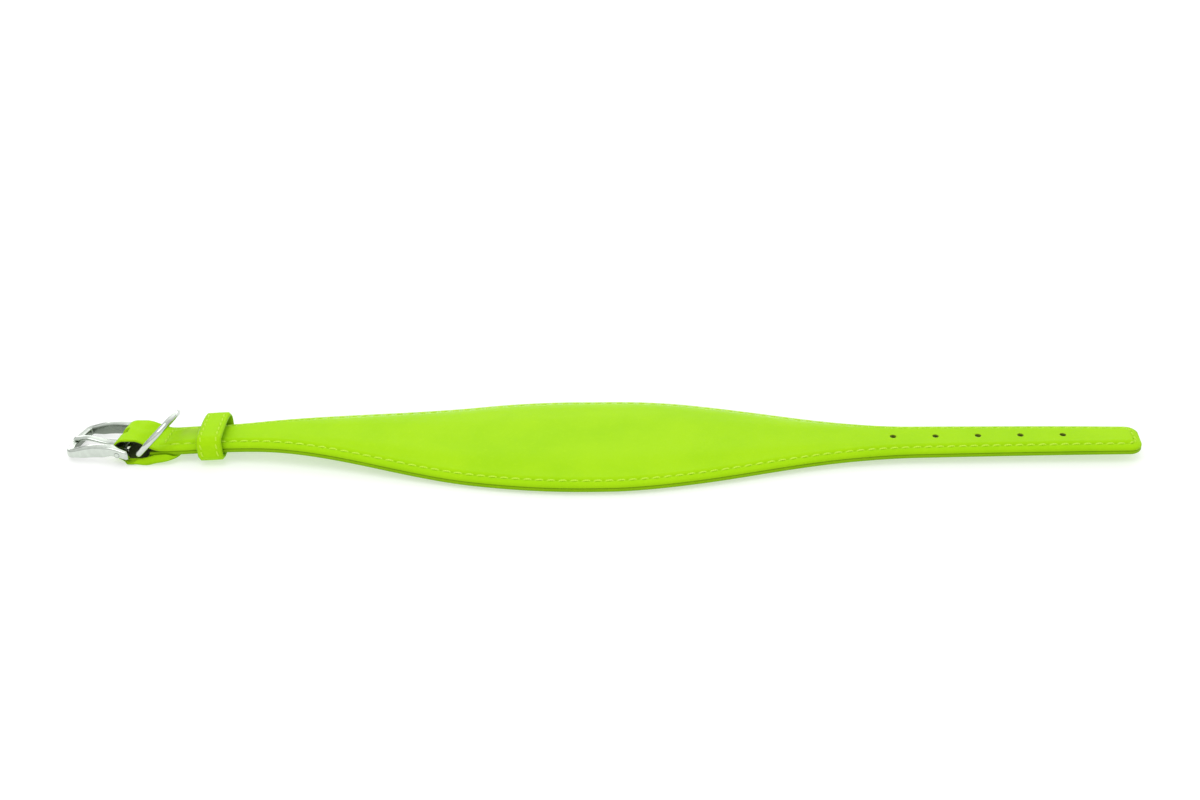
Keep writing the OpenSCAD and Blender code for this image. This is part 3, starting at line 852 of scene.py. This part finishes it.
def foldThread():
    count = 4
    pitch = 2 * tapeY(strap["width"] / 2) / count
    k = shear(seamX)
    topZ, lowZ = topOf(seamX, 0) + 0.02, flapZ(seamX) - strap["outer"] - 0.02
    rows = []
    for i in range(count):
        ya = (i - count / 2) * pitch + 0.1 * pitch
        yb = ya + 0.8 * pitch
        rows.append(((seamX + ya * k, ya, topZ), (seamX + yb * k, yb, topZ), (0, 0, 1)))
        rows.append(((seamX + ya * k, ya, lowZ), (seamX + yb * k, yb, lowZ), (0, 0, -1)))
    threadRow("fold_thread_row", rows, stitching["thread"] * 0.9, "strap", "fold_thread")


edgeThreads()
foldThread()
print("seams stitched")


# keeper: a strip of leather bent to a loop, with a stitched row near each edge
keeper = {"long": 8.9, "thick": 1.5, "play": 2.4, "room": 1.95, "sag": 0.8, "bend": 1.4, "bulge": 0.28,
          "roll": 0.55, "inset": 1.7, "pitch": 3.0}
keeperTilt = math.atan(strap["keeperSlope"])


# points round the loop: across, up, and the way each one faces
def keeperPath(out, count=160):
    w = strap["width"] + keeper["play"] + 2 * out
    h = keeper["sag"] + strapThick + keeper["room"] + 2 * out
    r = keeper["bend"] + out
    top, side, bend = w - 2 * r, h - 2 * r, math.pi / 2 * r
    mid = (keeper["sag"] + strapThick + keeper["room"]) / 2 - keeper["sag"]

    def straight(y, z, facing, dy, dz):
        return lambda d: (y + dy * d, z + dz * d, facing)

    def corner(y, z, first):
        def at(d):
            n = first - d / r * 180 / math.pi
            return y + r * math.cos(math.radians(n)), z + r * math.sin(math.radians(n)), n
        return at

    runs = [(top, straight(-top / 2, h / 2, 90, 1, 0)), (bend, corner(top / 2, side / 2, 90)),
            (side, straight(w / 2, side / 2, 0, 0, -1)), (bend, corner(top / 2, -side / 2, 0)),
            (top, straight(top / 2, -h / 2, -90, -1, 0)), (bend, corner(-top / 2, -side / 2, -90)),
            (side, straight(-w / 2, -side / 2, 180, 0, 1)), (bend, corner(-top / 2, side / 2, 180))]
    total = 2 * (top + side) + 4 * bend
    pts = []
    for i in range(count):
        d = total * i / count
        for length, at in runs:
            if d <= length:
                break
            d -= length
        y, z, n = at(d)
        swell = keeper["bulge"] * (math.cos(math.pi * y / w) if z > 0 else 0.3)
        if abs(n) in (0, 180):
            swell = 0.0
        pts.append((y, z + mid + swell * max(math.sin(math.radians(n)), 0.0), math.radians(n)))
    return pts


def keeperSpot(x, y, z):
    c, s = math.cos(keeperTilt), math.sin(keeperTilt)
    return (keeperX + x * c - z * s, y, lift(keeperX) + x * s + z * c)


def keeperLoop():
    half, roll, thick = keeper["long"] / 2, keeper["roll"], keeper["thick"]
    inner, outer = keeperPath(0.0), keeperPath(thick)
    profile = []
    for i in range(13):                             # outside face, domed, with rounded edges
        u = -1 + 2 * i / 12
        edge = clamp((1 - abs(u)) * half / roll)
        rolled = math.sqrt(max(1 - (1 - edge) ** 2, 0))
        profile.append((u * half, mix(0.62, 1.0, rolled) + 0.04 * (1 - u * u)))
    for i in range(9):
        u = 1 - 2 * i / 8
        edge = clamp((1 - abs(u)) * half / roll)
        profile.append((u * (half - 0.06), mix(0.3, 0.0, math.sqrt(max(1 - (1 - edge) ** 2, 0)))))
    rings, wear = [], []
    for a, b in zip(inner, outer):
        ring = []
        for u, t in profile:
            skewed = u + 0.12 * noise.noise(Vector((a[0] * 0.2, a[1] * 0.2, 7 + u * 0.1)))
            ring.append(keeperSpot(skewed, mix(a[0], b[0], t), mix(a[1], b[1], t)))
            rim = abs(abs(u) - half)
            # darker along the rims, along the stitch rows and on the inside face
            edgeDark = 0.3 * math.exp(-(rim / 0.35) ** 2)
            seamDark = 0.22 * math.exp(-((rim - keeper["inset"]) / 0.25) ** 2)
            wear.append(max(edgeDark, 0.5 if t < 0.4 else seamDark))
        rings.append(ring)
    points, faces = loft(rings, loop=True)
    piece = meshFrom("keeper_loop_strip", points, faces, topLeather, {"wear": wear})
    onto(piece, "keeper", "leather", "keeper_loop")
    path = keeperPath(thick + 0.02, 600)
    total = 0.0
    reach = [0.0]
    for a, b in zip(path, path[1:] + path[:1]):
        total += math.hypot(b[0] - a[0], b[1] - a[1])
        reach.append(total)
    count = round(total / keeper["pitch"])

    def at(d):
        d %= total
        i = max(k for k in range(len(path)) if reach[k] <= d)
        return path[i]

    rows = []
    for x in (-half + keeper["inset"], half - keeper["inset"]):
        for i in range(count):
            a, b = at((i + 0.1) * total / count), at((i + 0.9) * total / count)
            m = at((i + 0.5) * total / count)
            if m[1] < -keeper["sag"] - 0.3:
                continue
            pa, pb = keeperSpot(x, a[0], a[1]), keeperSpot(x, b[0], b[1])
            above = Vector(keeperSpot(x, m[0] + math.cos(m[2]), m[1] + math.sin(m[2])))
            rows.append((pa, pb, above - Vector(keeperSpot(x, m[0], m[1]))))
    threadRow("keeper_thread_rows", rows, stitching["thread"] * 0.85, "keeper", "keeper_thread")


keeperLoop()
print("keeper made")


# bright metal: frame, tongue and ring as rounded castings and bent wire
buckle = {
    "railIn": 7.3, "railWide": 2.95, "crest": 0.55, "belly": 1.0, "roll": 0.05, "thick": 2.9, "reach": 20.6,
    "frontWide": 2.5, "bow": 2.0, "arch": 1.25, "drop": 2.6, "ear": 3.8, "corner": 1.8, "cornerAt": -16.6,
    "squareness": 4.2, "notch": 2.3, "tongueWide": 2.8, "tongueThick": 1.4, "eyeIn": 1.38, "eyeOut": 2.03,
    "pin": 0.85, "pinProud": 0.14,
}
frontMid = buckle["reach"] - buckle["thick"] / 2
chord = math.hypot(frontMid, buckle["drop"])
archR = (chord ** 2 / 4 + buckle["arch"] ** 2) / (2 * buckle["arch"])
archX = -frontMid / 2 + (archR - buckle["arch"]) * buckle["drop"] / chord
archZ = -buckle["drop"] / 2 - (archR - buckle["arch"]) * frontMid / chord


def archAt(x, extra=0.0):
    return archZ + math.sqrt((archR + extra) ** 2 - (x - archX) ** 2)


restZ = archAt(-buckle["reach"], buckle["thick"] / 2)


def atBar(p):
    return tuple(turnEnd @ Vector(p) + Vector((barAt[0], 0, barAt[1])))


def roundBox(width, height, squareness, count):
    pts = []
    for k in range(count):
        a = 2 * math.pi * k / count
        c, s = math.cos(a), math.sin(a)
        pts.append((math.copysign(abs(c) ** (2 / squareness), c) * width / 2,
                    math.copysign(abs(s) ** (2 / squareness), s) * height / 2))
    return pts


def buckleFrame():
    b = buckle
    railY = b["railIn"] + b["railWide"] / 2
    outerR = ((b["railIn"] + b["railWide"]) ** 2 + b["bow"] ** 2) / (2 * b["bow"])

    def frontX(y):
        return -b["reach"] + b["frontWide"] / 2 + outerR - math.sqrt(outerR ** 2 - y * y)

    cornerY = railY - b["corner"]
    half = [(x, -railY) for x in span(b["ear"], b["cornerAt"], 40)]
    for i in range(1, 15):
        a = math.pi / 2 * i / 14
        cornerX = mix(b["cornerAt"], frontX(cornerY), math.sin(a))
        half.append((cornerX, -(cornerY + (railY - cornerY) * math.cos(a))))
    half += [(frontX(y), y) for y in span(-cornerY, 0, 22)[1:]]
    path = half + [(x, -y) for x, y in half[-2::-1]]
    rings, inside = [], []
    for i, (x, y) in enumerate(path):
        before, after = path[max(i - 1, 0)], path[min(i + 1, len(path) - 1)]
        along = Vector((after[0] - before[0], after[1] - before[1], 0)).normalized()
        side = Vector((-along.y, along.x, 0))
        onFront = ease(-x, 14.5, 18.5)
        wide = mix(b["railWide"], b["frontWide"], onFront)
        top = b["thick"] / 2 + b["crest"] * ease(-x, -8.0, 1.0) * (1 - ease(-x, 8.0, 17.0))
        # the belly stays clear of the flap
        low = b["thick"] / 2 + b["belly"] * ease(-x, 1.5, 6.0) * (1 - ease(-x, 12.0, 17.5))
        tall = top + low
        lies = b["roll"] * y * ease(-x, -3.0, 3.0)  # the frame lies a little rolled
        centreZ = archAt(x) + (top - low) / 2 - lies
        fromEnd = b["ear"] - x if abs(y) > railY - 0.01 else 9
        taper = math.sqrt(max(1 - (1 - clamp(fromEnd / 0.9)) ** 2, 0.02))
        small = mix(0.72, 1, taper)
        limit = restZ - 0.02                        # seat of the tongue
        ring = []
        for u, v in roundBox(wide, tall, b["squareness"], 28):
            p = Vector((x, y, centreZ)) + side * u * small + Vector((0, 0, v * small))
            notch = smooth((b["notch"] - abs(p.y)) / 0.7) * onFront
            if p.z > limit:
                p.z = mix(p.z, limit, notch)
            ring.append(atBar(p))
            # painted dark reflection on the inner faces of the frame
            inside.append(ease(-u / wide, 0.3, 0.47) * ease(abs(v / tall), 0.5, 0.4))
        rings.append(ring)
    points, faces = loft(rings)
    piece = meshFrom("buckle_frame_casting", points, faces, chromeLook, {"inside": inside})
    onto(piece, "buckle", "metal", "buckle_frame")
    for side in (-1, 1):                            # bar ends, peened over in the ears
        rings, inside = [], []
        face = railY + b["railWide"] / 2
        for r, out in ((b["pin"] + 0.1, -0.25), (b["pin"] + 0.1, 0.0), (b["pin"], 0.02), (b["pin"] * 0.92, 0.09),
                       (b["pin"] * 0.7, b["pinProud"] * 0.9), (b["pin"] * 0.3, b["pinProud"])):
            turns = [math.pi * k / 12 for k in range(24)]
            rings.append([atBar((r * math.cos(a), side * (face + out), r * math.sin(a))) for a in turns])
            # painted shade on the rim sunk in the ear
            inside += [1.0 if r > b["pin"] * 0.95 else 0.0] * 24
        points, faces = loft(rings)
        name = "bar_end_near" if side < 0 else "bar_end_far"
        onto(meshFrom(name, points, faces, chromeLook, {"inside": inside}), "buckle", "metal")


def buckleTongue():
    b = buckle
    rings = []
    for i in range(48):                             # eye, wrapped round the bar
        a = 2 * math.pi * i / 48
        ring = []
        for u, v in roundBox(b["tongueWide"], b["eyeOut"] - b["eyeIn"], 3.5, 20):
            r = (b["eyeIn"] + b["eyeOut"]) / 2 + v
            ring.append(atBar((r * math.cos(a), u, r * math.sin(a))))
        rings.append(ring)
    points, faces = loft(rings, loop=True)
    low = restZ + 0.15
    crest, tip = b["reach"] - b["frontWide"] - b["bow"] - b["tongueThick"], b["reach"] - 0.3
    root = -0.9
    under = [(root, -1.9), (-8.0, -1.95), (-crest + 1.3, low + 0.3), (-crest - 0.5, low + 0.65),
             (-crest - 3.0, low + 0.05), (-tip, low - 0.05)]
    over = [(root, -0.6), (-8.0, -0.85), (-crest + 1.3, low + 1.7), (-crest - 0.5, low + 2.05),
            (-crest - 3.2, low + 1.5), (-tip + 0.7, low + 1.15), (-tip, low + 0.95)]

    def follow(line, x):
        for (ax, az), (bx, bz) in zip(line[:-1], line[1:]):
            if bx <= x <= ax:
                return mix(az, bz, (x - ax) / (bx - ax))
        return line[-1][1] if x < line[-1][0] else line[0][1]

    def gentle(line, x):
        return sum(follow(line, min(x + 0.25 * o, root)) for o in range(-6, 7)) / 13

    rings = []
    for x in span(root, -tip + 0.9, 60) + [-tip + d for d in (0.7, 0.5, 0.32, 0.18, 0.08, 0.0)]:
        zl, zt = gentle(under, x), gentle(over, x)
        end = math.sqrt(max(1 - (1 - clamp((x + tip + 0.02) / 0.9)) ** 2, 0.03))
        wide = mix(b["tongueWide"] - 0.1, b["tongueWide"] - 0.5, ease(-x, 8, tip)) * mix(0.6, 1, end)
        tall = (zt - zl) * mix(0.35, 1, end)
        ring = []
        for u, v in roundBox(wide, tall, 2.8, 24):
            ring.append(atBar((x, u, (zl + zt) / 2 + v)))
        rings.append(ring)
    shankPoints, shankFaces = loft(rings)
    base = len(points)
    points += shankPoints
    faces += [tuple(base + v for v in f) for f in shankFaces]
    piece = meshFrom("buckle_tongue_prong", points, faces, chromeLook)
    onto(piece, "tongue", "metal", "buckle_tongue")


leadRing = {"wire": 2.3, "play": 1.6, "high": 15.1, "lean": 48.0, "turn": 6.0, "corner": 1.7}


def dRing():
    r = strap["width"] / 2 + leadRing["play"] / 2 + leadRing["wire"] / 2
    leg, c = leadRing["high"] - r, leadRing["corner"]
    path = [(0, y) for y in span(-(r - c), r - c, 24)]
    path += [(c - c * math.cos(t), r - c + c * math.sin(t)) for t in span(0, math.pi / 2, 10)[1:]]
    path += [(x, r) for x in span(c, leg, 10)[1:]]
    path += [(leg + r * math.sin(t), r * math.cos(t)) for t in span(0, math.pi, 60)[1:]]
    path += [(x, -r) for x in span(leg, c, 10)[1:]]
    path += [(c - c * math.sin(t), -(r - c) - c * math.cos(t)) for t in span(0, math.pi / 2, 10)[1:-1]]
    lean = Matrix.Rotation(math.radians(-leadRing["lean"]), 3, "Y")
    stand = Matrix.Rotation(math.radians(-strap["askew"] - leadRing["turn"]), 3, "Z") @ lean
    centre = Vector((ringX, 0, (flapZ(ringX) + runZ(ringX)) / 2))
    rings, inside = [], []
    for i, (x, y) in enumerate(path):
        before, after = path[i - 1], path[(i + 1) % len(path)]
        along = Vector((after[0] - before[0], after[1] - before[1], 0)).normalized()
        side = Vector((-along.y, along.x, 0))
        ring = []
        for k in range(20):
            a = 2 * math.pi * k / 20
            spoke = side * math.cos(a) + Vector((0, 0, 1)) * math.sin(a)
            ring.append(tuple(stand @ (Vector((x, y, 0)) + spoke * leadRing["wire"] / 2) + centre))
        rings.append(ring)
        inside += [1 - ease(x, 0.2, 1.5)] * 20      # painted shade where the straight side sits in the fold; rougher there too
    points, faces = loft(rings, loop=True)
    piece = meshFrom("d_ring_wire", points, faces, chromeLook, {"inside": inside})
    onto(piece, "ring", "metal", "d_ring")


buckleFrame()
buckleTongue()
dRing()
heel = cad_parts["heel_bar"]
heel.data.materials.clear()
heel.data.materials.append(chromeLook)
print("metal made")


# pale floor, soft overhead light and a grey horizon for the plate to reflect
studio = {"floor": (0.6, 0.6, 0.6, 1), "glow": 0.75, "sky": 0.8, "horizon": 0.45, "behind": 0.75,
          "front": 0.2, "key": 2.95, "strip": 2.0}


def studioScene():
    low = min(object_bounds()[0].z, cadLow.z)
    mesh = bpy.data.meshes.new("floor")
    size = 12.0
    corners = [(-size, -size, 0), (size, -size, 0), (size, size, 0), (-size, size, 0)]
    mesh.from_pydata(corners, [], [(0, 1, 2, 3)])
    floor = bpy.data.objects.new("floor", mesh)
    floor.location.z = low - 0.00005
    bpy.context.scene.collection.objects.link(floor)
    material, start, shader = newMaterial("pale_floor")
    feed(start, shader, Base_Color=studio["floor"], Roughness=0.9, Specular_IOR_Level=0.1)
    feed(start, shader, Emission_Color=studio["floor"], Emission_Strength=studio["glow"])
    mesh.materials.append(material)
    world = bpy.data.worlds.new("soft_studio")
    world.use_nodes = True
    tree = world.node_tree
    start = Sock(tree)
    back = tree.nodes["Background"]
    at = start.make("ShaderNodeTexCoord")
    up = start.make("ShaderNodeSeparateXYZ", None, {0: at}, 2)
    ahead = start.make("ShaderNodeSeparateXYZ", None, {0: at}, 1)
    bright = up.ramp(0.02, 0.55) * (studio["sky"] - studio["horizon"]) + studio["horizon"]
    across = start.make("ShaderNodeSeparateXYZ", None, {0: at}, 0)
    wall = ahead.ramp(0.1, 0.8) * up.ramp(0.1, 0.4) * (across.ramp(-0.45, 0.0) * 0.7 + 0.3)
    bright = bright + wall * studio["behind"]       # tall white wall behind, open on its left
    bright = bright + (1 - ahead.ramp(-0.7, -0.1)) * studio["front"]   # pale screen before it
    tree.links.new(bright.out, back.inputs["Strength"])
    back.inputs["Color"].default_value = (1, 1, 1, 1)
    bpy.context.scene.world = world
    lamps = [("key_softbox", (-0.2, -0.28, 1.0), 0.7, 0.7, studio["key"]),
             ("back_strip", (0.0, 0.95, 0.2), 1.4, 0.25, studio["strip"])]
    for name, spot, wide, tall, power in lamps:
        data = bpy.data.lights.new(name, "AREA")
        data.shape = "RECTANGLE"
        data.size, data.size_y = wide, tall
        data.energy = power
        lamp = bpy.data.objects.new(name, data)
        lamp.location = spot
        lamp.rotation_euler = (-Vector(spot)).to_track_quat("-Z", "Y").to_euler()
        bpy.context.scene.collection.objects.link(lamp)
    bpy.context.scene.view_settings.view_transform = "Standard"


studioScene()
print("studio lit")
